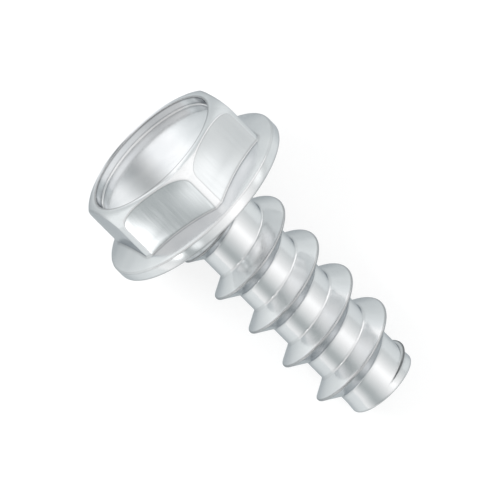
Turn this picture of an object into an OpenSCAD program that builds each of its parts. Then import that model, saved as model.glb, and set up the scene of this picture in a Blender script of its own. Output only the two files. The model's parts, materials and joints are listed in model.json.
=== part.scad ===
/* [Hexagon] */
// Width of the hexagon across its flats
hex_af = 7.94; // [7.6:0.01:8.3]
// Diameter over the rounded corners of the hexagon
corner_d = 8.95; // [8.7:0.01:9.1]
// Height of the head above the bearing face
head_h = 3.52; // [2.8:0.01:4.5]
// Radius of the rounded shoulder round the top of the head
shoulder_r = 0.82; // [0.4:0.01:0.85]
// Turn of the hexagon about the axis of the screw
hex_turn = 36.7; // [0:0.1:60]

/* [Recess in the head] */
// Diameter of the round recess
recess_d = 7.16; // [4:0.01:7.2]
// Depth of the recess
recess_depth = 0.50; // [0.2:0.01:1.5]
// Fillet at the foot of the recess wall
recess_fillet = 0.12; // [0.02:0.01:0.15]

/* [Washer] */
// Diameter of the washer that is forged with the head
washer_d = 10.34; // [9.4:0.01:11.5]
// Thickness of the washer at its edge
washer_t = 0.57; // [0.35:0.01:0.9]
// Rise of the washer from its edge to the flats of the hexagon
washer_rise = 0.45; // [0.1:0.01:0.8]
// Break on the two corners of the washer's edge
washer_edge = 0.08; // [0.02:0.01:0.15]
// Diameter of the shallow dish under the washer, round the shank
dish_d = 5.90; // [5.7:0.01:7]
// Depth of the dish
dish_depth = 0.12; // [0.03:0.01:0.25]

/* [Thread] */
// Length of the shank from the bearing face to the tip
shank_l = 13.34; // [9:0.01:40]
// Diameter over the crests of the thread
thread_d = 5.49; // [4.6:0.01:5.6]
// Diameter of the root between the turns
root_d = 3.67; // [3:0.01:4.2]
// Pitch, which is the rise of the thread in one turn
pitch = 2.46; // [1.8:0.01:3]
// Length along the axis of the flank that faces the head
head_flank = 0.59; // [0.3:0.01:0.8]
// Length along the axis of the flank that faces the tip
tip_flank = 0.68; // [0.3:0.01:0.8]
// Width of the crest along the axis
crest_w = 0.08; // [0.02:0.01:0.2]

/* [Ends of the thread] */
// Distance from the bearing face to the start of the thread
start_gap = 0.25; // [0.15:0.01:1]
// Turns over which the thread grows to full height under the head
start_turns = 1.00; // [0.2:0.01:1.2]
// Distance from the tip to the end of the thread
end_gap = 0.16; // [0.14:0.01:1]
// Turns over which the thread runs out at the tip
end_turns = 0.67; // [0.5:0.01:0.95]
// Turns at the end in which the thread is only a low ridge
ridge_turns = 0.37; // [0.2:0.01:0.48]
// Height of the low ridge where it begins, as a share of the full height
ridge_share = 0.30; // [0.1:0.01:0.6]
// Side of the screw on which the thread ends, as an angle round the axis
end_side = -60; // [-180:5:180]

/* [Tip] */
// Diameter of the blunt tip
tip_d = 3.76; // [3:0.01:4.2]
// Size of the break on the edge of the tip
tip_edge = 0.10; // [0.03:0.01:0.12]

/* [Rest] */
// Side of the screw that lies on the floor, as an angle round the axis
rest_side = 88; // [0:1:359]

/* [Hidden] */
STEEL = [0.78, 0.79, 0.80];

// Radii that the diameters give
washer_r = washer_d / 2;
corner_r = corner_d / 2;
crest_r = thread_d / 2;
root_r = root_d / 2;
tip_r = tip_d / 2;
dish_r = dish_d / 2;
recess_r = recess_d / 2;

// The top of the washer is part of a sphere, through its edge and the foot of the flats
foot_r = hex_af / 2;
foot_z = washer_t + washer_rise;
dome_z = (foot_z + washer_t - (washer_r ^ 2 - foot_r ^ 2) / washer_rise) / 2;
dome_r = norm([washer_r, washer_t - dome_z]);
// Height inside the washer from which the hexagon rises and the shank hangs, in one solid
joint_z = (washer_t + dish_depth) / 2;

// The thread is a row of sections along its helix. Section 0 is its end at the tip.
STEPS = 72;
end_z = end_gap - shank_l;
last = floor((shank_l - end_gap - start_gap) / pitch * STEPS);

// A smooth change from 0 to 1 while x goes from 0 to 1
function ease(x) = let (t = max(0, min(1, x))) t * t * (3 - 2 * t);

function side(i) = end_side + 360 * i / STEPS;
function section_z(i) = end_z + pitch * i / STEPS;
function ring_point(r, i, z) = [r * cos(side(i)), r * sin(side(i)), z];

// Height of the thread at section i, as a share of the full height
function ridge_part(w) = ridge_share * sin(90 * min(1, w / ridge_turns));
function end_part(w) =
    ridge_part(w) + (1 - ridge_share) * ease((w - ridge_turns) / (end_turns - ridge_turns));
function start_part(w) = sin(90 * min(1, w / start_turns));
function height_share(i) = min(end_part(i / STEPS), start_part((last - i) / STEPS));

// Four points across the thread at section i, from the tip side to the head side
function section_points(i) =
    let (
        share = height_share(i),
        r = root_r + share * (crest_r - root_r),
        z = section_z(i),
        half = share * crest_w / 2
    )
    [
        ring_point(root_r, i, z - half - share * tip_flank),
        ring_point(r, i, z - half),
        ring_point(r, i, z + half),
        ring_point(root_r, i, z + half + share * head_flank)
    ];

function ring(r, z) = [for (i = [0 : STEPS - 1]) ring_point(r, i, z)];

// At both ends the thread's section shrinks to a single point
shank_points = concat(
    [ring_point(root_r, 0, section_z(0))],
    [for (i = [1 : last - 1]) each section_points(i)],
    [ring_point(root_r, last, section_z(last))],
    ring(tip_r - tip_edge, -shank_l),
    ring(tip_r, tip_edge - shank_l),
    ring(root_r, joint_z)
);

// Places of those points in the list
END_POINT = 0;
START_POINT = 4 * (last - 1) + 1;
function at(i, k) = i == 0 ? END_POINT : i == last ? START_POINT : 4 * (i - 1) + 1 + k;
function on_ring(n, i) = START_POINT + 1 + n * STEPS + i % STEPS;
function face_ring(i) = on_ring(0, i);
function edge_ring(i) = on_ring(1, i);
function top_ring(i) = on_ring(2, i);

function quad(a, b, c, d) = [[a, b, c], [a, c, d]];
function fan(a, rest) = [for (n = [0 : len(rest) - 2]) [a, rest[n], rest[n + 1]]];
function whole(faces) = [for (f = faces) if (f[0] != f[1] && f[1] != f[2] && f[2] != f[0]) f];

// The two flanks and the crest
thread_faces = [
    for (i = [0 : last - 1], k = [0 : 2])
        each quad(at(i, k), at(i, k + 1), at(i + 1, k + 1), at(i + 1, k))
];
// The root between one turn and the next
root_faces = [
    for (i = [0 : last - STEPS - 1])
        each quad(at(i, 3), at(i + STEPS, 0), at(i + 1 + STEPS, 0), at(i + 1, 3))
];
// The plain shank below the first turn, and its closing step beside the thread's end
tip_side_faces = concat(
    [for (i = [0 : STEPS - 2]) each quad(edge_ring(i), at(i, 0), at(i + 1, 0), edge_ring(i + 1))],
    fan(at(STEPS - 1, 0), [at(STEPS, 0), END_POINT, edge_ring(0), edge_ring(STEPS - 1)])
);
// The plain shank above the last turn, and its closing step beside the thread's start
turn_up = last - STEPS;
head_side_faces = concat(
    fan(at(turn_up + 1, 3), [at(turn_up, 3), START_POINT, top_ring(turn_up), top_ring(turn_up + 1)]),
    [for (i = [turn_up + 1 : last - 1]) each quad(at(i, 3), top_ring(i), top_ring(i + 1), at(i + 1, 3))]
);
tip_edge_faces = [
    for (i = [0 : STEPS - 1])
        each quad(face_ring(i), edge_ring(i), edge_ring(i + 1), face_ring(i + 1))
];
shank_faces = concat(
    whole(thread_faces), root_faces, tip_side_faces, head_side_faces, tip_edge_faces,
    [[for (i = [0 : STEPS - 1]) face_ring(i)]],
    [[for (i = [STEPS - 1 : -1 : 0]) top_ring(i)]]
);

// The screw lies on the washer's edge and dips until the first point of the shank meets the floor
function reach_down(p) = p.x * cos(rest_side) + p.y * sin(rest_side);
dip = min([for (p = shank_points) atan2(washer_r - reach_down(p), washer_edge - p.z)]);
rest_height = washer_r * cos(dip) - washer_edge * sin(dip);

// Reach of the lying screw behind and ahead of the washer's centre
shoulder_z = head_h - shoulder_r;
behind = (corner_r - shoulder_r) * sin(dip) + shoulder_z * cos(dip) + shoulder_r;
ahead = max([for (p = shank_points) -reach_down(p) * sin(dip) - p.z * cos(dip)]);

// Profile with a rounded corner at radius r and height z
module shoulder_profile(r, foot, z, rounding) {
    translate([0, foot])
        square([r, z - rounding - foot]);
    translate([0, foot])
        square([r - rounding, z - foot]);
    translate([r - rounding, z - rounding])
        circle(r = rounding, $fn = 64);
}

// The round blank of the head, cut to a hexagon
module hexagon() {
    intersection() {
        rotate_extrude($fn = 144)
            shoulder_profile(corner_r, joint_z, head_h, shoulder_r);
        translate([0, 0, joint_z])
            rotate([0, 0, hex_turn])
                cylinder(r = hex_af / 2 / cos(30), h = head_h, $fn = 6);
    }
}

module recess() {
    rotate_extrude($fn = 144)
        translate([0, head_h - recess_depth]) {
            translate([0, recess_fillet])
                square([recess_r, recess_depth]);
            square([recess_r - recess_fillet, recess_depth]);
            translate([recess_r - recess_fillet, recess_fillet])
                circle(r = recess_fillet, $fn = 48);
        }
}

// The dish's wall and the breaks on the edge lean at 45 degrees
module washer() {
    rotate_extrude($fn = 144)
        intersection() {
            polygon([
                [0, dish_depth],
                [dish_r - dish_depth, dish_depth],
                [dish_r, 0],
                [washer_r - washer_edge, 0],
                [washer_r, washer_edge],
                [washer_r, washer_t - washer_edge],
                [foot_r, washer_t - washer_edge + washer_r - foot_r],
                [0, washer_t - washer_edge + washer_r - foot_r]
            ]);
            translate([0, dome_z])
                circle(r = dome_r, $fn = 720);
        }
}

module shank() {
    polyhedron(points = shank_points, faces = shank_faces, convexity = 8);
}

// The screw upright, with the bearing face at height 0 and the tip below it
module upright_screw() {
    difference() {
        union() {
            washer();
            hexagon();
            shank();
        }
        recess();
    }
}

// The lying screw, with its head towards -X and its tip towards +X
module screw() {
    color(STEEL)
        translate([(behind - ahead) / 2, 0, rest_height])
            rotate([0, dip - 90, 0])
                rotate([0, 0, 180 - rest_side])
                    upright_screw();
}

screw();
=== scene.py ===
"""A hex washer head self-tapping screw of zinc-plated steel.

It lies on a pale floor in soft studio light.
"""

import json
import logging
import math
from collections.abc import Callable, Iterable
from dataclasses import dataclass, field
from enum import Enum

import bmesh
import bpy
from mathutils import Matrix, Vector


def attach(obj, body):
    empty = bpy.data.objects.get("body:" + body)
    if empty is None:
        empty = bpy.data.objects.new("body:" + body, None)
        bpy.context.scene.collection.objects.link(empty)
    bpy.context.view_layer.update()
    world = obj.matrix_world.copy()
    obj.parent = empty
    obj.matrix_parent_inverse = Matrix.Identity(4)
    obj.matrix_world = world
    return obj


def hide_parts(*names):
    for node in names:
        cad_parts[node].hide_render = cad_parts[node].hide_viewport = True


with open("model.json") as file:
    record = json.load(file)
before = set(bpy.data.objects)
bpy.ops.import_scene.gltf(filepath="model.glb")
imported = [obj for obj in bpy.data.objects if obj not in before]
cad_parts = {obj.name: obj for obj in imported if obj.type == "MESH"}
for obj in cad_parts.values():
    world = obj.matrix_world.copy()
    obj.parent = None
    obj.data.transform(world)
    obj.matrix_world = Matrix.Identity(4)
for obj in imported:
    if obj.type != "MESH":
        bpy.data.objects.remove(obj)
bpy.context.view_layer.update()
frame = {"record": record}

Pair = tuple[float, float]
Triple = tuple[float, float, float]
Socket = bpy.types.NodeSocket

MM = 0.001
# Lengths in millimetres that differ by less than this are the same.
NEAR = 1e-4
log = logging.getLogger("screw")


class Side(Enum):
    """The part of an edit mesh that a test picks."""

    VERTS = "VERT"
    EDGES = "EDGE"


class Reach(Enum):
    """What a lamp lights."""

    FLOOR = "floor"
    GLOSS = "gloss"


def ease(x: float) -> float:
    """Returns a smooth change from 0 to 1 while x goes from 0 to 1."""
    t = max(0.0, min(1.0, x))
    return t * t * (3 - 2 * t)


def arc(centre: Pair, radius: float, start: float, end: float, steps: int) -> list[Pair]:
    """Gives the points of an arc in the plane of a profile, without its first point.

    Args:
        centre: radius and height of the arc's centre.
        radius: radius of the arc.
        start: first angle in degrees, from the outward direction towards up.
        end: last angle in degrees.
        steps: number of straight steps.

    Returns:
        The radius and height of each point.
    """
    angles = [math.radians(start + (end - start) * i / steps) for i in range(1, steps + 1)]
    return [(centre[0] + radius * math.cos(a), centre[1] + radius * math.sin(a)) for a in angles]


def round_corner(
    before: Vector, corner: Vector, after: Vector, radius: float, steps: int
) -> list[Vector]:
    """Rounds one corner of a line.

    Args:
        before: the point before the corner.
        corner: the corner itself.
        after: the point after the corner.
        radius: radius of the rounding.
        steps: number of straight steps in it.

    Returns:
        The points that take the corner's place.
    """
    into = (before - corner).normalized()
    out = (after - corner).normalized()
    half = into.angle(out) / 2
    reach = radius / math.tan(half)
    centre = corner + (into + out).normalized() * (radius / math.sin(half))
    first = corner + into * reach - centre
    last = corner + out * reach - centre
    return [centre + first.slerp(last, i / steps).normalized() * radius for i in range(steps + 1)]


def between(start: Vector, end: Vector, step: float) -> list[Vector]:
    """Returns the points between two others, at most a step apart."""
    count = max(1, math.ceil((end - start).length / step))
    return [start.lerp(end, i / count) for i in range(1, count)]


def open_ring(height: float) -> Callable[[bmesh.types.BMEdge], bool]:
    """Makes a test for the open edges of a mesh at one height.

    Args:
        height: height of the edges.

    Returns:
        The test, for Bench.pick.
    """

    def test(edge: bmesh.types.BMEdge) -> bool:
        """Returns whether an edge is open and lies at that height."""
        return edge.is_boundary and all(abs(v.co.z - height) < NEAR for v in edge.verts)

    return test


def cooled(level: float, most: float = 0.16, green: float = 0.15) -> Triple:
    """Returns the colour of a grey of this level, the darker the cooler."""
    cool = max(0.0, 1 - level) * most
    return level * (1 - cool), level * (1 - cool * green), level


class Bench:
    """The modelling bench: one piece in edit mode, in millimetres, upright at the origin."""

    def __init__(self, piece: bpy.types.Object) -> None:
        """Takes up the piece that is on the bench."""
        self.piece = piece

    def open(self) -> None:
        """Goes into edit mode with nothing selected."""
        bpy.ops.object.mode_set(mode="EDIT")
        bpy.ops.mesh.select_mode(type=Side.VERTS.value)
        bpy.ops.mesh.select_all(action="DESELECT")

    def close(self) -> None:
        """Goes back to object mode."""
        bpy.ops.object.mode_set(mode="OBJECT")

    def join_doubles(self, gap: float) -> None:
        """Merges all points of the piece that lie closer than a gap."""
        bpy.ops.mesh.select_all(action="SELECT")
        bpy.ops.mesh.remove_doubles(threshold=gap)

    def pick(self, side: Side, test: Callable[..., bool]) -> None:
        """Selects the parts of the mesh that pass a test, and nothing else.

        Args:
            side: whether the test looks at vertices or at edges.
            test: says whether one of them is selected.
        """
        bpy.ops.mesh.select_mode(type=side.value)
        bpy.ops.mesh.select_all(action="DESELECT")
        mesh = bmesh.from_edit_mesh(self.piece.data)
        mesh.normal_update()
        parts = mesh.verts if side is Side.VERTS else mesh.edges
        for part in [part for part in parts if test(part)]:
            part.select_set(True)
        mesh.select_flush_mode()
        bmesh.update_edit_mesh(self.piece.data)

    def set_places(self, place: Callable[[Vector], Vector], only_selected: bool = True) -> None:
        """Moves each vertex to where a function of its present place puts it.

        Args:
            place: gives the new place for a present one.
            only_selected: whether the other vertices stay where they are.
        """
        mesh = bmesh.from_edit_mesh(self.piece.data)
        for vertex in mesh.verts:
            if vertex.select or not only_selected:
                vertex.co = place(vertex.co.copy())
        bmesh.update_edit_mesh(self.piece.data)

    def carry_ring(self, start: Pair, profile: Iterable[Pair]) -> None:
        """Extrudes the selected ring through the radii and heights of a profile.

        Args:
            start: radius and height of the ring that is selected.
            profile: radius and height of each ring to make.
        """
        radius, height = start
        for new_radius, new_height in profile:
            scale = new_radius / radius
            move = (0, 0, new_height - height)
            bpy.ops.mesh.extrude_region_move(TRANSFORM_OT_translate={"value": move})
            bpy.ops.transform.resize(
                value=(scale, scale, 1), center_override=(0, 0, new_height)
            )
            radius, height = new_radius, new_height


class Graph:
    """The nodes of one material, lamp or world."""

    def __init__(self, owner: bpy.types.Material | bpy.types.Light | bpy.types.World) -> None:
        """Takes up the owner's nodes and empties them.

        Args:
            owner: the material, lamp or world.
        """
        owner.use_nodes = True
        self.tree = owner.node_tree
        self.tree.nodes.clear()

    def add(
        self, kind: str, inputs: dict[str | int, object] | None = None, **settings: object
    ) -> bpy.types.bpy_prop_collection:
        """Adds a node.

        Args:
            kind: the node's type.
            inputs: for each socket that isn't left as it is, its value or what links to it.
            **settings: the node's own settings.

        Returns:
            The node's outputs.
        """
        node = self.tree.nodes.new(kind)
        for name, value in settings.items():
            setattr(node, name, value)
        for name, value in (inputs or {}).items():
            if isinstance(value, Socket):
                self.tree.links.new(value, node.inputs[name])
            else:
                node.inputs[name].default_value = value
        return node.outputs

    def split(self, vector: Socket) -> bpy.types.bpy_prop_collection:
        """Returns the three parts of a vector, by the names X, Y and Z."""
        return self.add("ShaderNodeSeparateXYZ", {"Vector": vector})

    def span(
        self, value: Socket, ends: Pair, goals: Pair = (0.0, 1.0), soft: bool = False
    ) -> Socket:
        """Maps a value from one span to another, and holds it at the ends.

        Args:
            value: the value to map.
            ends: the two values at which the span ends.
            goals: what they are mapped to.
            soft: whether the change starts and ends smoothly.

        Returns:
            The mapped value.
        """
        inputs = {"Value": value, "From Min": ends[0], "From Max": ends[1]}
        inputs |= {"To Min": goals[0], "To Max": goals[1]}
        kind = "SMOOTHSTEP" if soft else "LINEAR"
        return self.add("ShaderNodeMapRange", inputs, interpolation_type=kind)["Result"]

    def mix(
        self, share: Socket | float, first: Socket, second: object, kind: str = "MIX"
    ) -> Socket:
        """Mixes two colours.

        Args:
            share: share of the second colour.
            first: the first colour.
            second: the second colour, as a value or a socket.
            kind: the kind of mix.

        Returns:
            The mixed colour.
        """
        inputs = {"Factor": share, "A": first, "B": second}
        return self.add("ShaderNodeMix", inputs, data_type="RGBA", blend_type=kind)["Result"]

    def ramp(
        self, place: Socket, stops: list[tuple[float, Triple]], soft: bool = False
    ) -> Socket:
        """Turns a value into the colours of a ramp.

        Args:
            place: the place on the ramp, from 0 to 1.
            stops: places and colours in rising order.
            soft: whether the colours run smoothly past the stops.

        Returns:
            The colour.
        """
        colour = self.add("ShaderNodeValToRGB", {"Fac": place})["Color"]
        ramp = colour.node.color_ramp
        ramp.interpolation = "B_SPLINE" if soft else "LINEAR"
        while len(ramp.elements) < len(stops):
            ramp.elements.new(0.5)
        for element, (position, tone) in zip(ramp.elements, stops):
            element.position = position
            element.color = (*tone, 1)
        return colour


@dataclass(frozen=True)
class Pattern:
    """A noise pattern: the stretch of its coordinates, its scale and its detail."""

    stretch: Triple
    scale: float
    detail: float

    def add(self, graph: Graph, spot: Socket) -> Socket:
        """Adds the pattern to a material.

        Args:
            graph: the nodes of the material.
            spot: the coordinates before they are stretched.

        Returns:
            The pattern's value.
        """
        inputs = {"Vector": spot, "Scale": self.stretch}
        stretched = graph.add("ShaderNodeMapping", inputs)["Vector"]
        inputs = {"Vector": stretched, "Scale": self.scale, "Detail": self.detail}
        return graph.add("ShaderNodeTexNoise", inputs)["Fac"]


@dataclass(frozen=True)
class Plating:
    """Bright zinc plating, satin, with faint streaks along the axis. Lengths in millimetres."""

    name: str = "zinc_plating"
    light: Triple = (0.91, 0.912, 0.915)
    dark: Triple = (0.79, 0.80, 0.81)
    smooth: float = 0.14
    rough: float = 0.22
    edge_tint: Triple = (0.60, 0.62, 0.64)
    clouds: Pattern = Pattern((1, 1, 0.12), 0.55, 1.5)
    streaks: Pattern = Pattern((1, 1, 0.06), 9.0, 3.0)
    grain: Pattern = Pattern((1, 1, 1), 22.0, 3.0)
    # The part of a noise pattern's range that is used.
    noise_ends: Pair = (0.3, 0.7)
    grain_strength: float = 0.2
    grain_height: float = 0.001
    # Openness at which the painted shade in a corner, or the dark line along an edge, is full, and
    # where it ends.
    shade_ends: Pair = (0.6, 0.97)
    shade_samples: int = 8
    # Painted shade in the corners: how far it reaches and its darkest tone.
    corner_shade_reach: float = 0.18
    corner_shade_tone: float = 0.25
    # Dark lines along the sharp edges: how far they reach and their darkest tone.
    edge_line_reach: float = 0.14
    edge_line_tone: float = 0.25

    def make(self, turn: Matrix, place: Vector) -> bpy.types.Material:
        """Builds the material.

        Args:
            turn: rotation of the screw in the row frame.
            place: centre of the bearing face in the row frame, in metres.

        Returns:
            The material, whose patterns lie along the screw.
        """
        material = bpy.data.materials.new(self.name)
        graph = Graph(material)
        inputs = {
            "Vector": graph.add("ShaderNodeTexCoord")["Object"],
            "Location": place,
            "Rotation": turn.to_euler("XYZ"),
            "Scale": (MM, MM, MM),
        }
        spot = graph.add("ShaderNodeMapping", inputs, vector_type="TEXTURE")["Vector"]
        low, high = self.noise_ends
        tone = graph.ramp(self.clouds.add(graph, spot), [(low, self.dark), (high, self.light)])
        # Painted shade in the corners, then dark lines along the sharp edges.
        tone = self.darken(graph, tone, edge_lines=False)
        tone = self.darken(graph, tone, edge_lines=True)
        streaks = self.streaks.add(graph, spot)
        relief = {
            "Strength": self.grain_strength,
            "Distance": self.grain_height * MM,
            "Height": self.grain.add(graph, spot),
        }
        inputs = {
            "Metallic": 1.0,
            "Specular Tint": (*self.edge_tint, 1),
            "Base Color": tone,
            "Roughness": graph.span(streaks, self.noise_ends, (self.smooth, self.rough)),
            "Normal": graph.add("ShaderNodeBump", relief)["Normal"],
        }
        steel = graph.add("ShaderNodeBsdfPrincipled", inputs)
        graph.add("ShaderNodeOutputMaterial", {"Surface": steel["BSDF"]})
        return material

    def darken(self, graph: Graph, colour: Socket, edge_lines: bool) -> Socket:
        """Darkens a colour with painted shade in the corners of the piece, or thinly along its
        sharp edges.

        Args:
            graph: the nodes of the material.
            colour: the colour to darken.
            edge_lines: whether the sharp edges are darkened, and not the corners.

        Returns:
            The darkened colour.
        """
        reach = self.edge_line_reach if edge_lines else self.corner_shade_reach
        least = self.edge_line_tone if edge_lines else self.corner_shade_tone
        openness = graph.add(
            "ShaderNodeAmbientOcclusion",
            {"Distance": reach * MM},
            only_local=True,
            inside=edge_lines,
            samples=self.shade_samples,
        )["AO"]
        shade_tone = graph.span(openness, self.shade_ends, (least, 1.0))
        return graph.mix(1.0, colour, shade_tone, "MULTIPLY")


@dataclass
class Head:
    """The hexagonal head with its recess and washer, forged in one. Lengths in millimetres."""

    sides: int = 6
    hex_af: float = 7.94
    corner_d: float = 8.95
    top: float = 3.518
    shoulder: float = 0.82
    recess_d: float = 7.16
    recess_depth: float = 0.50
    recess_fillet: float = 0.12
    rim: float = 0.03
    washer_d: float = 10.315
    washer_t: float = 0.57
    washer_rise: float = 0.45
    washer_edge: float = 0.08
    dish_d: float = 5.90
    dish_depth: float = 0.12
    dish_break: float = 0.01
    crease: float = 0.045
    foot_fillet: float = 0.07
    # Angle in degrees past which an edge at the foot is sharp.
    foot_angle: float = 45.0
    # Angle in degrees up the arc of the shoulder at which the sectors end.
    upper: float = 80.0
    # Steps of the mesh.
    fine_steps: int = 800
    side_steps: int = 4
    arch_steps: int = 14
    corner_step: int = 5
    rows: int = 6
    foot_steps: int = 20
    bevel_steps: int = 3
    # What tells a flat from the other faces: its number of corners, and how upright it is.
    flat_corners: int = 30
    flat_lean: float = 0.01
    # Slack in height and in width with which the foot of the hexagon is found.
    foot_slack: float = 1e-3
    wall_slack: float = 0.01
    # Rows of the mesh: the first beside a flat, and those that keep a face plain beside an edge.
    first_row: float = 0.075
    hold: float = 0.03
    far_hold: float = 0.12
    wall_hold: float = 0.09
    floor_hold: float = 0.10
    edge_row: float = 0.3
    bearing_row: float = 3.6
    dish_row: float = 2.1
    floor_rows: Pair = (2.4, 1.2)
    washer_rows: tuple[float, ...] = (0.14, 0.32, 0.5, 0.67, 0.84, 1.0)

    @property
    def flat(self) -> float:
        """Distance from the axis to a flat."""
        return self.hex_af / 2

    @property
    def wall(self) -> float:
        """Radius over the rounded corners of the hexagon."""
        return self.corner_d / 2

    @property
    def shoulder_z(self) -> float:
        """Height at which the shoulder begins."""
        return self.top - self.shoulder

    @property
    def foot_z(self) -> float:
        """Height of the washer's top at the corners of the hexagon."""
        return self.dome_z(self.wall)

    @property
    def foot_top(self) -> float:
        """Height just over the foot of the flats."""
        return self.dome_z(self.flat) + self.foot_slack

    def dome(self) -> Pair:
        """Finds the washer's domed top.

        Returns:
            The height of its centre, and its radius.
        """
        radius = self.washer_d / 2
        height = self.washer_t + self.washer_rise
        centre = (height + self.washer_t - (radius**2 - self.flat**2) / self.washer_rise) / 2
        return centre, math.hypot(radius, self.washer_t - centre)

    def dome_z(self, radius: float) -> float:
        """Returns the height of the washer's top at a distance from the axis."""
        centre, ball = self.dome()
        return centre + math.sqrt(ball**2 - radius**2)

    def blank(self, angle: float, along: float) -> Vector:
        """Gives a point on the round blank, before its flats.

        Args:
            angle: angle round the axis in degrees.
            along: height on the wall, carried on along the arc of the shoulder.

        Returns:
            The point.
        """
        lean = max(0.0, (along - self.shoulder_z) / self.shoulder)
        radius = self.wall - self.shoulder + self.shoulder * math.cos(lean)
        height = min(along, self.shoulder_z) + self.shoulder * math.sin(lean)
        a = math.radians(angle)
        return Vector((radius * math.cos(a), radius * math.sin(a), height))

    def crease_point(self, angle: float) -> float:
        """Finds a point of a flat's edge.

        Args:
            angle: angle from the middle of the flat, in degrees.

        Returns:
            How far along the blank the point lies.
        """
        across = self.flat / math.cos(math.radians(angle))
        cosine = (across - self.wall + self.shoulder) / self.shoulder
        return self.shoulder_z + self.shoulder * math.acos(max(-1.0, min(1.0, cosine)))

    def half_arch(self) -> list[Pair]:
        """Finds the upper edge of a flat, from its side to its middle, in equal steps.

        Returns:
            The angle and the place along the blank of each point.
        """
        widest = math.degrees(math.acos(self.flat / self.wall))
        count = self.fine_steps
        angles = [widest * (1 - (i / count) ** 2) for i in range(count + 1)]
        line = [(a, self.crease_point(a)) for a in angles]
        points = [self.blank(*p) for p in line]
        lengths = [0.0]
        for before, after in zip(points, points[1:]):
            lengths.append(lengths[-1] + (after - before).length)
        chosen = []
        for i in range(self.arch_steps + 1):
            goal = lengths[-1] * i / self.arch_steps
            nearest = min(range(len(lengths)), key=lambda k: abs(lengths[k] - goal))
            chosen.append(line[nearest])
        return chosen

    def edges(self) -> tuple[list[Pair], list[Pair]]:
        """Finds a flat's edge and the outline of its sector of the blank.

        Returns:
            Two lines of the same number of points, each an angle and a place along the blank.
        """
        arch = self.half_arch()
        foot = self.foot_z
        heights = [
            foot + (self.shoulder_z - foot) * i / self.side_steps for i in range(self.side_steps)
        ]
        inner = [(arch[0][0], z) for z in heights] + arch
        widest = 180 / self.sides
        end = self.shoulder_z + self.shoulder * math.radians(self.upper)
        outer = [(widest, z) for z in heights]
        for i in range(self.arch_steps + 1):
            if i <= self.corner_step:
                height = self.shoulder_z + (end - self.shoulder_z) * i / self.corner_step
                outer.append((widest, height))
            else:
                share = (i - self.corner_step) / (self.arch_steps - self.corner_step)
                outer.append((widest * (1 - share), end))
        mirror = [[(-a, s) for a, s in line[-2::-1]] for line in (inner, outer)]
        return inner + mirror[0], outer + mirror[1]

    def build(self) -> bpy.types.Object:
        """Builds the head, open where the shank joins it.

        Returns:
            The head's object.
        """
        inner, outer = self.edges()
        steps = len(inner) - 1
        bpy.ops.mesh.primitive_grid_add(x_subdivisions=steps, y_subdivisions=self.rows + 1, size=2)
        piece = bpy.context.object
        bench = Bench(piece)
        bench.open()

        def on_blank(spot: Vector) -> Vector:
            """Finds where a point of the plain grid lies round the flat.

            Args:
                spot: the point, from -1 to 1 both ways.

            Returns:
                Its place on the blank.
            """
            i = round((spot.x + 1) / 2 * steps)
            row = round((spot.y + 1) / 2 * (self.rows + 1))
            start, end = self.blank(*inner[i]), self.blank(*outer[i])
            first = self.first_row / (end - start).length
            share = 0.0 if row == 0 else first + (1 - first) * (row - 1) / self.rows
            return self.blank(*(a + (b - a) * share for a, b in zip(inner[i], outer[i])))

        bench.set_places(on_blank, only_selected=False)
        self.add_flat(bench)
        bpy.ops.mesh.select_all(action="SELECT")
        copies = self.sides - 1
        angle = math.radians(360 * copies / self.sides)
        bpy.ops.mesh.spin(
            steps=copies, dupli=True, angle=angle, center=(0, 0, 0), axis=(0, 0, 1)
        )
        bench.join_doubles(NEAR)
        self.add_washer(bench)
        self.add_recess(bench)
        self.round_edges(bench)
        bench.close()
        return piece

    def on_flat(self, spot: Vector) -> bool:
        """Returns whether a point lies on the first flat."""
        return abs(spot.x - self.flat) < NEAR

    def add_flat(self, bench: Bench) -> None:
        """Closes the flat within its edge, down to the washer.

        Args:
            bench: the bench with the first sector on it.
        """
        foot = self.foot_z
        bench.pick(Side.VERTS, lambda v: self.on_flat(v.co) and abs(v.co.z - foot) < NEAR)
        bpy.ops.mesh.edge_face_add()
        bpy.ops.mesh.subdivide(number_cuts=self.foot_steps - 1)
        bench.set_places(lambda p: Vector((p.x, p.y, self.dome_z(math.hypot(p.x, p.y)))))
        bench.pick(Side.VERTS, lambda v: self.on_flat(v.co))
        bpy.ops.mesh.edge_face_add()

    def add_washer(self, bench: Bench) -> None:
        """Carries the foot of the hexagon over the washer, round its edge and under it.

        Args:
            bench: the bench with the hexagon on it.
        """
        low = self.foot_top
        bench.pick(Side.EDGES, lambda e: e.is_boundary and all(v.co.z < low for v in e.verts))
        centre_z, ball = self.dome()
        edge = self.washer_edge
        radius = self.washer_d / 2
        round_r = radius - edge
        round_z = centre_z + math.sqrt((ball - edge) ** 2 - round_r**2)
        tangent = ball * round_r / (ball - edge)
        lean = math.degrees(math.acos(round_r / (ball - edge)))
        done = 0.0
        for share in self.washer_rows:
            self.step_out(bench, tangent, (share - done) / (1 - done))
            done = share
        dish = self.dish_d / 2
        depth = self.dish_depth
        rings = [
            *arc((round_r, round_z), edge, lean, 0, steps=4),
            (radius, self.edge_row),
            (radius, edge),
            *arc((round_r, edge), edge, 0, -90, steps=5),
            (round_r - self.far_hold, 0.0),
            (self.bearing_row, 0.0),
            (dish + self.hold, 0.0),
            (dish - self.dish_break, self.dish_break),
            (dish - depth + self.dish_break, depth - self.dish_break),
            (dish - depth - self.hold, depth),
            (self.dish_row, depth),
        ]
        bench.carry_ring((tangent, self.dome_z(tangent)), rings)

    def step_out(self, bench: Bench, goal: float, part: float) -> None:
        """Extrudes the selected ring outwards over the dome.

        Args:
            bench: the bench with the ring on it.
            goal: the radius that the ring is on its way to.
            part: the part of the way that it goes.
        """

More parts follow.
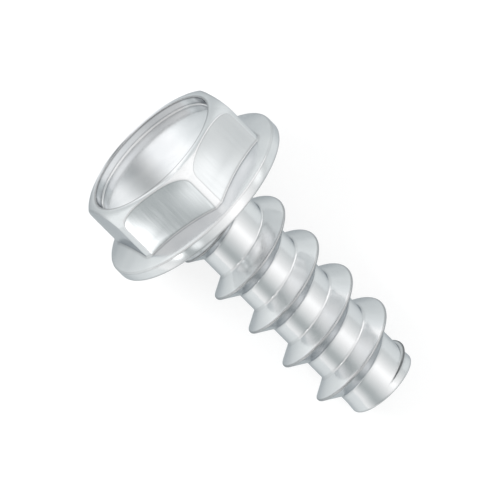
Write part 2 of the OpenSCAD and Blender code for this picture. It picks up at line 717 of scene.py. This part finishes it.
        def outwards(spot: Vector) -> Vector:
            """Moves a point out over the dome.

            Args:
                spot: its present place.

            Returns:
                Its new place.
            """
            old = spot.xy.length
            new = old + (goal - old) * part
            return Vector((spot.x * new / old, spot.y * new / old, self.dome_z(new)))

        bpy.ops.mesh.extrude_region_move()
        bench.set_places(outwards)

    def add_recess(self, bench: Bench) -> None:
        """Carries the shoulder over the rim, down the wall and across the recess's floor.

        Args:
            bench: the bench with the hexagon on it.
        """
        start = self.blank(0, self.shoulder_z + self.shoulder * math.radians(self.upper))
        radius = self.recess_d / 2
        bench.pick(Side.EDGES, open_ring(start.z))
        floor = self.top - self.recess_depth
        fillet = self.recess_fillet
        rim = (radius + self.rim, self.top - self.rim)
        rings = [
            *arc((self.wall - self.shoulder, self.shoulder_z), self.shoulder, self.upper, 90, 2),
            (radius + self.rim, self.top),
            *arc(rim, self.rim, 90, 180, steps=4),
            (radius, self.top - self.wall_hold),
            (radius, floor + fillet + self.hold),
            (radius, floor + fillet),
            *arc((radius - fillet, floor + fillet), fillet, 0, -90, steps=6),
            (radius - fillet - self.floor_hold, floor),
            *((row, floor) for row in self.floor_rows),
        ]
        bench.carry_ring((start.xy.length, start.z), rings)
        bpy.ops.mesh.edge_face_add()

    def round_edges(self, bench: Bench) -> None:
        """Rounds the edges of the six flats, and fills the corner at their foot.

        Args:
            bench: the bench with the head on it.
        """
        mesh = bmesh.from_edit_mesh(bench.piece.data)
        mesh.normal_update()
        flats = {
            f.index
            for f in mesh.faces
            if len(f.verts) > self.flat_corners and abs(f.normal.z) < self.flat_lean
        }
        top = self.foot_top
        bottom = self.foot_z - self.foot_slack

        def is_crease(edge: bmesh.types.BMEdge) -> bool:
            """Returns whether an edge bounds a flat and isn't at its foot."""
            borders = any(f.index in flats for f in edge.link_faces)
            return borders and not all(v.co.z < top for v in edge.verts)

        def is_foot(edge: bmesh.types.BMEdge) -> bool:
            """Finds the edges where the hexagon meets the washer.

            Args:
                edge: an edge of the head.

            Returns:
                Whether it is one of them.
            """
            if len(edge.link_faces) != 2:
                return False
            if edge.calc_face_angle() < math.radians(self.foot_angle):
                return False
            widest = self.wall + self.wall_slack
            return all(bottom < v.co.z < top and v.co.xy.length < widest for v in edge.verts)

        for test, width in ((is_crease, self.crease), (is_foot, self.foot_fillet)):
            bench.pick(Side.EDGES, test)
            bpy.ops.mesh.bevel(
                offset=width, segments=self.bevel_steps, affect="EDGES", clamp_overlap=True
            )


@dataclass
class Shank:
    """The shank with its rolled thread and blunt tip.

    Lengths in millimetres, angles in degrees in the screw's own frame.
    """

    length: float = 13.335
    crest_d: float = 5.49
    root_d: float = 3.67
    pitch: float = 2.46
    head_flank: float = 0.59
    tip_flank: float = 0.68
    crest_w: float = 0.08
    crest_round: float = 0.045
    root_round: float = 0.13
    # Where the middle of the thread ends at the tip, and how many turns lead up from there.
    end_z: float = -13.352
    end_angle: float = 28.1
    turns: float = 5.32
    # Turns over which the thread grows at the head and at the tip, where it starts as a ridge.
    start_turns: float = 1.00
    end_turns: float = 0.74
    ridge_turns: float = 0.44
    ridge_share: float = 0.30
    # The bend of the ridge towards the head.
    ridge_lift: float = 0.45
    lift_turns: float = 0.5
    lift_power: float = 1.4
    tip_d: float = 3.755
    tip_edge: float = 0.10
    flare: float = 0.7
    neck: float = 0.12
    # Width kept for the root's rounding beside each flank.
    tip_foot: float = 0.07
    head_foot: float = 0.08
    # Least width of the thread where it has no height, the width past its ends, and how fast
    # one turns into the other.
    least_width: float = 0.06
    past_width: float = 0.5
    width_gain: float = 6.0
    # Steps and rows of the mesh, and the gaps under which its points are merged.
    steps: int = 144
    extra_turns: int = 1
    flank_step: float = 0.16
    tip_hold: float = 0.12
    tip_row: float = 0.8
    helix_gap: float = 1e-3
    cut_gap: float = 4e-3
    # Height within which a point counts as one of an end's ring.
    ring_slack: float = 0.01

    @property
    def root(self) -> float:
        """Radius of the root."""
        return self.root_d / 2

    def section(self) -> list[Vector]:
        """Draws one pitch of the thread's profile.

        Returns:
            Points with their height above the root and their place along the axis.
        """
        half = self.crest_w / 2
        depth = (self.crest_d - self.root_d) / 2
        gap = self.pitch - self.crest_w - self.head_flank - self.tip_flank
        low = -half - self.tip_flank - gap / 2
        corners = [
            Vector((0.0, low)),
            Vector((0.0, -half - self.tip_flank)),
            Vector((depth, -half)),
            Vector((depth, half)),
            Vector((0.0, half + self.head_flank)),
            Vector((0.0, low + self.pitch)),
        ]
        radii = [self.root_round, self.crest_round, self.crest_round, self.root_round]
        line = [corners[0]]
        for i, radius in enumerate(radii, start=1):
            bend = round_corner(*(corners[k].to_3d() for k in (i - 1, i, i + 1)), radius, 4)
            line += between(line[-1], bend[0].to_2d(), self.flank_step)
            line += [p.to_2d() for p in bend]
        line += between(line[-1], corners[-1], self.flank_step)
        return [*line, corners[-1]]

    def share(self, turn: float) -> float:
        """Gives the height of the thread as a share of its full height.

        Args:
            turn: turns from the thread's end at the tip.

        Returns:
            The share, from 0 to 1.
        """
        quarter = math.pi / 2
        ridge = self.ridge_share * math.sin(quarter * min(1.0, max(0.0, turn) / self.ridge_turns))
        rise = ease((turn - self.ridge_turns) / (self.end_turns - self.ridge_turns))
        left = (self.turns - turn) / self.start_turns
        start = math.sin(quarter * max(0.0, min(1.0, left)))
        return min(ridge + (1 - self.ridge_share) * rise, start)

    def shape(self, spot: Vector) -> Vector:
        """Gives a point of the full helix its place on the real thread.

        Args:
            spot: the point on the endless helix.

        Returns:
            The point with the thread's two ends and the flare of the tip.
        """
        half = self.crest_w / 2
        tip_side = half + self.tip_flank + self.tip_foot
        head_side = half + self.head_flank + self.head_foot
        gap = self.pitch - tip_side - head_side
        low = -tip_side - gap / 2
        angle = (math.degrees(math.atan2(spot.y, spot.x)) - self.end_angle) / 360
        offset = spot.z - self.end_z - self.pitch * angle - low
        turn = angle + math.floor(offset / self.pitch + 1e-6)
        centre = self.end_z + self.pitch * turn
        along = spot.z - centre
        share = self.share(turn)
        past = max(0.0, -turn, turn - self.turns)
        squeeze = max(share, min(self.past_width, self.least_width + self.width_gain * past))
        bent = max(0.0, 1 - max(0.0, turn) / self.lift_turns)
        lift = self.ridge_lift * bent**self.lift_power
        if -tip_side <= along <= head_side:
            new = along * squeeze + lift
        elif along < 0:
            new = low + (along - low) * (low + tip_side * squeeze - lift) / (low + tip_side)
        else:
            high = low + self.pitch
            new = high - (high - along) * (high - head_side * squeeze - lift) / (high - head_side)
        z = centre + new
        radius = self.root + (spot.xy.length - self.root) * share
        near_tip = ease((self.flare - (z + self.length)) / self.flare)
        radius += (self.tip_d / 2 - self.root) * near_tip
        scale = radius / spot.xy.length
        return Vector((spot.x * scale, spot.y * scale, z))

    def build(self) -> bpy.types.Object:
        """Builds the shank, open where it joins the head.

        Returns:
            The shank's object.
        """
        piece = self.draw_section()
        helix = piece.modifiers.new("helix", "SCREW")
        helix.axis = "Z"
        helix.angle = 2 * math.pi
        helix.screw_offset = self.pitch
        helix.iterations = math.ceil(self.turns) + 2 * self.extra_turns + 1
        helix.steps = helix.render_steps = self.steps
        bpy.ops.object.modifier_apply(modifier=helix.name)
        bench = Bench(piece)
        bench.open()
        bench.join_doubles(self.helix_gap)
        bench.set_places(self.shape, only_selected=False)
        low = self.tip_edge - self.length
        for height, normal in ((0.0, 1), (low, -1)):
            bpy.ops.mesh.select_all(action="SELECT")
            bpy.ops.mesh.bisect(
                plane_co=(0, 0, height), plane_no=(0, 0, normal), clear_outer=True
            )
        bench.join_doubles(self.cut_gap)
        self.level_ring(bench, 0.0)
        self.level_ring(bench, low)
        self.close_tip(bench, low)
        self.widen_neck(bench)
        bench.close()
        return piece

    def draw_section(self) -> bpy.types.Object:
        """Draws the thread's profile where the helix begins, below the tip.

        Returns:
            The object with the profile, a line of edges.
        """
        line = self.section()
        bpy.ops.mesh.primitive_plane_add(size=0.1)
        piece = bpy.context.object
        bench = Bench(piece)
        bench.open()
        bpy.ops.mesh.select_all(action="SELECT")
        bpy.ops.mesh.merge(type="CENTER")
        base = self.end_z - self.pitch * (self.extra_turns + 1)
        bpy.ops.transform.translate(value=(self.root + line[0].x, 0, base + line[0].y))
        for before, after in zip(line, line[1:]):
            move = (after.x - before.x, 0, after.y - before.y)
            bpy.ops.mesh.extrude_region_move(TRANSFORM_OT_translate={"value": move})
        bench.close()
        bpy.ops.transform.rotate(
            value=-math.radians(self.end_angle), orient_axis="Z", center_override=(0, 0, 0)
        )
        bpy.ops.object.transform_apply(location=True, rotation=True, scale=True)
        return piece

    def level_ring(self, bench: Bench, height: float) -> None:
        """Brings the open ring at one end of the shank back to one height.

        Args:
            bench: the bench with the shank on it.
            height: the height.
        """
        slack = self.ring_slack
        bench.pick(Side.VERTS, lambda v: v.is_boundary and abs(v.co.z - height) < slack)
        bench.set_places(lambda p: Vector((p.x, p.y, height)))

    def close_tip(self, bench: Bench, low: float) -> None:
        """Rounds the edge of the tip and closes its face.

        Args:
            bench: the bench with the shank on it.
            low: height at which the edge begins.
        """
        bench.pick(Side.EDGES, open_ring(low))
        radius = self.tip_d / 2
        rings = [
            *arc((radius - self.tip_edge, low), self.tip_edge, 0, -90, steps=5),
            (radius - self.tip_edge - self.tip_hold, -self.length),
            (self.tip_row, -self.length),
        ]
        bench.carry_ring((radius, low), rings)
        bpy.ops.mesh.edge_face_add()

    def widen_neck(self, bench: Bench) -> None:
        """Fills the corner between the shank and the floor of the dish.

        Args:
            bench: the bench with the shank on it.
        """
        bench.pick(Side.EDGES, open_ring(0.0))
        fillet = arc((self.root + self.neck, 0.0), self.neck, 180, 90, steps=4)
        bench.carry_ring((self.root, 0.0), fillet)


@dataclass
class Screw:
    """The whole screw, one piece of plated steel."""

    name: str = "plated_screw"
    head: Head = field(default_factory=Head)
    shank: Shank = field(default_factory=Shank)
    finish: Plating = field(default_factory=Plating)
    # Angle in degrees under which an edge is shaded smooth.
    smooth_angle: float = 38.0

    @staticmethod
    def place() -> tuple[Matrix, Vector]:
        """Finds the lying screw from its mounts.

        Returns:
            The rotation of the screw's own frame, and the centre of its bearing face in metres.
        """
        mounts = {m["name"]: m for m in frame["record"]["mounts"]}
        up = -Vector(mounts["bearing_face"]["axis"]).normalized()
        side = Vector(mounts["wrench_flat"]["axis"])
        side = (side - up * side.dot(up)).normalized()
        turn = Matrix((side, up.cross(side), up)).transposed()
        return turn, Vector(mounts["bearing_face"]["pos_m"])

    def build(self) -> bpy.types.Object:
        """Builds the screw, dresses it and sets it in the CAD model's place.

        Returns:
            The finished piece.
        """
        bpy.ops.object.select_all(action="DESELECT")
        head = self.head.build()
        bpy.ops.object.select_all(action="DESELECT")
        shank = self.shank.build()
        bpy.ops.object.select_all(action="DESELECT")
        shank.select_set(True)
        head.select_set(True)
        bpy.context.view_layer.objects.active = head
        bpy.ops.object.join()
        head.name = head.data.name = self.name
        bench = Bench(head)
        bench.open()
        bench.pick(Side.EDGES, open_ring(self.head.dish_depth))
        bpy.ops.mesh.bridge_edge_loops()
        bench.join_doubles(NEAR)
        bpy.ops.mesh.normals_make_consistent(inside=False)
        bench.close()
        bpy.ops.object.shade_smooth_by_angle(angle=math.radians(self.smooth_angle))
        turn, centre = self.place()
        head.matrix_world = Matrix.Translation(centre) @ turn.to_4x4() @ Matrix.Scale(MM, 4)
        bpy.ops.object.transform_apply(location=True, rotation=True, scale=True)
        head.data.materials.clear()
        head.data.materials.append(self.finish.make(turn, centre))
        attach(head, "root")
        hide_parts("screw")
        return head


@dataclass(frozen=True)
class Lamp:
    """A soft lamp or a bright card, at a place and turned to a point. Lengths in metres."""

    name: str
    place: Triple
    aim: Triple
    size: Pair
    light: float
    reach: Reach

    def hang(self) -> None:
        """Hangs the lamp, which shines as bright as a surface of that light."""
        data = bpy.data.lights.new(self.name, "AREA")
        data.shape = "RECTANGLE"
        data.size, data.size_y = self.size
        data.energy = self.light * math.pi * self.size[0] * self.size[1]
        if self.reach is Reach.GLOSS:
            self.soften(data)
        holder = bpy.data.objects.new(self.name, data)
        bpy.context.scene.collection.objects.link(holder)
        back = (Vector(self.place) - Vector(self.aim)).normalized()
        across = Vector((1, 0, 0))
        across = (across - back * across.dot(back)).normalized()
        axes = Matrix((across, back.cross(across), back)).transposed()
        holder.matrix_world = Matrix.Translation(Vector(self.place)) @ axes.to_4x4()
        holder.visible_camera = False
        holder.visible_glossy = self.reach is Reach.GLOSS
        holder.visible_diffuse = self.reach is Reach.FLOOR

    @staticmethod
    def soften(data: bpy.types.Light, ends: Pair = (0.5, 0.15)) -> None:
        """Lets the light of a card fade out towards its edges.

        Args:
            data: the card's lamp.
            ends: distances from its middle at which the light is none and full, as shares.
        """
        graph = Graph(data)
        kind = "ShaderNodeVectorMath"
        spot = graph.add("ShaderNodeNewGeometry")["Parametric"]
        centred = graph.add(kind, {0: spot, 1: (0.5, 0.5, 0)}, operation="SUBTRACT")["Vector"]
        reach = graph.add(kind, {0: centred}, operation="LENGTH")["Value"]
        shine = graph.add("ShaderNodeEmission", {"Strength": graph.span(reach, ends, soft=True)})
        graph.add("ShaderNodeOutputLight", {"Surface": shine["Emission"]})


@dataclass
class Studio:
    """The pale floor, the soft light and the camera.

    Lengths in metres, and those of the stripes in millimetres.
    """

    view_width: float = 0.02405
    raised: float = 21.0
    seen_from: float = 23.3
    aim_side: float = 0.048 * MM
    aim_along: float = -3.62 * MM
    distance: float = 0.3
    clip: Pair = (0.01, 10.0)
    floor_size: float = 1.2
    floor_tone: float = 0.8
    # The seen floor: its own light, and the tone that takes the shadow.
    glow_seen: float = 0.72
    shade: float = 0.32
    # The floor in the metal's gloss glows in painted stripes, which the metal shows as painted
    # reflections: levels across the screw, and the level past stripe_ends.
    stripe_reach: float = 20.0
    stripe_ends: Pair = (-9.0, -4.0)
    stripe_plain: float = 0.47
    stripes: tuple[Pair, ...] = (
        (-14, 0.60), (-9, 0.45), (-6, 0.36), (-3.8, 0.38), (-2.7, 1.12), (-1.9, 0.24),
        (-1.0, 0.05), (0.24, 1.6), (1.8, 0.55), (3.4, 0.48), (5, 0.36), (9, 0.42), (14, 0.55),
    )
    # The sky: levels by the angle round the screw in degrees, and plain levels to either side
    # for what comes from past sky_ends, behind the head.
    sky_light: float = 1.4
    sky_ends: Pair = (0.10, -0.15)
    side_ends: Pair = (-0.5, 0.6)
    side_levels: Pair = (0.85, 1.3)
    sky: tuple[Pair, ...] = (
        (-180, 0.9), (-120, 1.1), (-97, 1.15), (-80, 0.92), (-62, 0.54), (-48, 0.43),
        (-29, 0.60), (0, 0.98), (16, 1.1), (30, 1.3), (44, 1.0), (60, 0.88), (84, 0.66),
        (120, 0.75), (180, 0.85),
    )
    lamps: tuple[Lamp, ...] = (
        Lamp(
            "key_lamp", place=(-0.22, -0.10, 0.29), aim=(0, 0, 0),
            size=(0.12, 0.12), light=10.0, reach=Reach.FLOOR,
        ),
        Lamp(
            "left_card", place=(0.0019, -0.0173, 0.0178), aim=(-0.0058, -0.0014, 0.0091),
            size=(0.009, 0.006), light=1.5, reach=Reach.GLOSS,
        ),
        Lamp(
            "middle_card", place=(0.0036, -0.0095, 0.0206), aim=(-0.0058, -0.0014, 0.0091),
            size=(0.009, 0.005), light=0.6, reach=Reach.GLOSS,
        ),
        Lamp(
            "right_card", place=(0.0008, 0.0161, 0.0135), aim=(-0.0059, 0.0025, 0.0085),
            size=(0.009, 0.007), light=0.42, reach=Reach.GLOSS,
        ),
    )

    def build(self, turn: Matrix, centre: Vector) -> None:
        """Sets up everything round the screw.

        Args:
            turn: rotation of the screw's own frame.
            centre: centre of its bearing face.
        """
        self.add_floor()
        self.add_world()
        for lamp in self.lamps:
            lamp.hang()
        self.add_camera(turn, centre)
        bpy.context.scene.view_settings.view_transform = "Standard"

    def add_floor(self) -> None:
        """Lays the floor: it is seen white and keeps the screw's shadow, and in the metal's gloss
        it glows in painted stripes.
        """
        bpy.ops.object.select_all(action="DESELECT")
        bpy.ops.mesh.primitive_plane_add(size=self.floor_size)
        floor = bpy.context.object
        floor.name = "studio_floor"
        material = bpy.data.materials.new("pale_floor")
        graph = Graph(material)
        path = graph.add("ShaderNodeLightPath")
        spot = graph.split(graph.add("ShaderNodeTexCoord")["Object"])
        # Painted stripes of glow, seen only in the metal's gloss as painted reflections.
        reach = self.stripe_reach
        across = graph.span(spot["Y"], (-reach * MM, reach * MM))
        stops = [(y / reach / 2 + 0.5, cooled(level)) for y, level in self.stripes]
        start, end = self.stripe_ends
        past = graph.span(spot["X"], (start * MM, end * MM), soft=True)
        plain = (*cooled(self.stripe_plain), 1)
        striped = graph.mix(past, graph.ramp(across, stops, soft=True), plain)
        white = (self.glow_seen,) * 3
        level = graph.mix(path["Is Camera Ray"], striped, (*white, 1))
        glow = graph.add("ShaderNodeEmission", {"Color": level})["Emission"]
        shade_tone, pale = (self.shade,) * 3, (self.floor_tone,) * 3
        shaded = graph.add("ShaderNodeBsdfDiffuse", {"Color": (*shade_tone, 1)})["BSDF"]
        seen = graph.add("ShaderNodeAddShader", {0: shaded, 1: glow})["Shader"]
        lit = graph.add("ShaderNodeBsdfDiffuse", {"Color": (*pale, 1)})["BSDF"]
        rays = {0: path["Is Camera Ray"], 1: path["Is Glossy Ray"]}
        either = graph.add("ShaderNodeMath", rays, operation="MAXIMUM")["Value"]
        mixed = graph.add("ShaderNodeMixShader", {0: either, 1: lit, 2: seen})["Shader"]
        graph.add("ShaderNodeOutputMaterial", {"Surface": mixed})
        floor.data.materials.append(material)

    def add_world(self) -> None:
        """Lights the scene all round, in soft bands along the screw, and shows white behind."""
        world = bpy.data.worlds.new("studio_world")
        bpy.context.scene.world = world
        graph = Graph(world)
        way = graph.split(graph.add("ShaderNodeTexCoord")["Generated"])
        kind = "ShaderNodeMath"
        angle = graph.add(kind, {0: way["Y"], 1: way["Z"]}, operation="ARCTAN2")["Value"]
        circle = {0: angle, 1: 1 / (2 * math.pi), 2: 0.5}
        place = graph.add(kind, circle, operation="MULTIPLY_ADD")["Value"]
        stops = []
        for degrees, level in self.sky:
            red, green, blue = (tone / self.sky_light for tone in cooled(level))
            stops.append((degrees / 360 + 0.5, (red, green, blue)))
        bands = graph.ramp(place, stops, soft=True)
        behind = graph.span(way["X"], self.sky_ends, soft=True)
        left, right = (level / self.sky_light for level in self.side_levels)
        sky = graph.mix(behind, bands, graph.span(way["Y"], self.side_ends, (left, right)))
        kind = "ShaderNodeBackground"
        soft = graph.add(kind, {"Color": sky, "Strength": self.sky_light})["Background"]
        white = graph.add(kind, {"Color": (1, 1, 1, 1), "Strength": 1.0})["Background"]
        seen = graph.add("ShaderNodeLightPath")["Is Camera Ray"]
        mixed = graph.add("ShaderNodeMixShader", {0: seen, 1: soft, 2: white})["Shader"]
        graph.add("ShaderNodeOutputWorld", {"Surface": mixed})

    def add_camera(self, turn: Matrix, centre: Vector) -> None:
        """Points the camera as the photograph does, with the head up and to the left.

        Args:
            turn: rotation of the screw's own frame.
            centre: centre of its bearing face.
        """
        side = math.radians(self.seen_from)
        tilt = math.radians(self.raised)
        towards = Vector((math.cos(side), math.sin(side), 0))
        across = Vector((-math.sin(side), math.cos(side), 0))
        axis = Vector((0, 0, 1))
        back = towards * math.cos(tilt) + axis * math.sin(tilt)
        up = axis * math.cos(tilt) - towards * math.sin(tilt)
        picture_up = (up + across).normalized()
        picture_right = (across - up).normalized()
        aim = centre + turn @ (across * self.aim_side + axis * self.aim_along)
        axes = Matrix((turn @ picture_right, turn @ picture_up, turn @ back)).transposed()
        camera = bpy.data.cameras.new("camera")
        camera.type = "ORTHO"
        camera.ortho_scale = self.view_width
        camera.clip_start, camera.clip_end = self.clip
        holder = bpy.data.objects.new("camera", camera)
        bpy.context.scene.collection.objects.link(holder)
        spot = aim + turn @ back * self.distance
        holder.matrix_world = Matrix.Translation(spot) @ axes.to_4x4()
        bpy.context.scene.camera = holder


def report(piece: bpy.types.Object) -> None:
    """Logs one finished piece.

    Args:
        piece: the piece.
    """
    mesh = bmesh.new()
    mesh.from_mesh(piece.data)
    open_edges = sum(1 for e in mesh.edges if len(e.link_faces) != 2)
    triangles = sum(len(f.verts) - 2 for f in mesh.faces)
    mesh.free()
    log.info("%s: %d triangles, %d open edges", piece.name, triangles, open_edges)


def main() -> None:
    """Builds the screw and the studio."""
    logging.basicConfig(level=logging.INFO, format="%(name)s: %(message)s")
    piece = Screw().build()
    report(piece)
    Studio().build(*Screw.place())


if __name__ == "__main__":
    main()
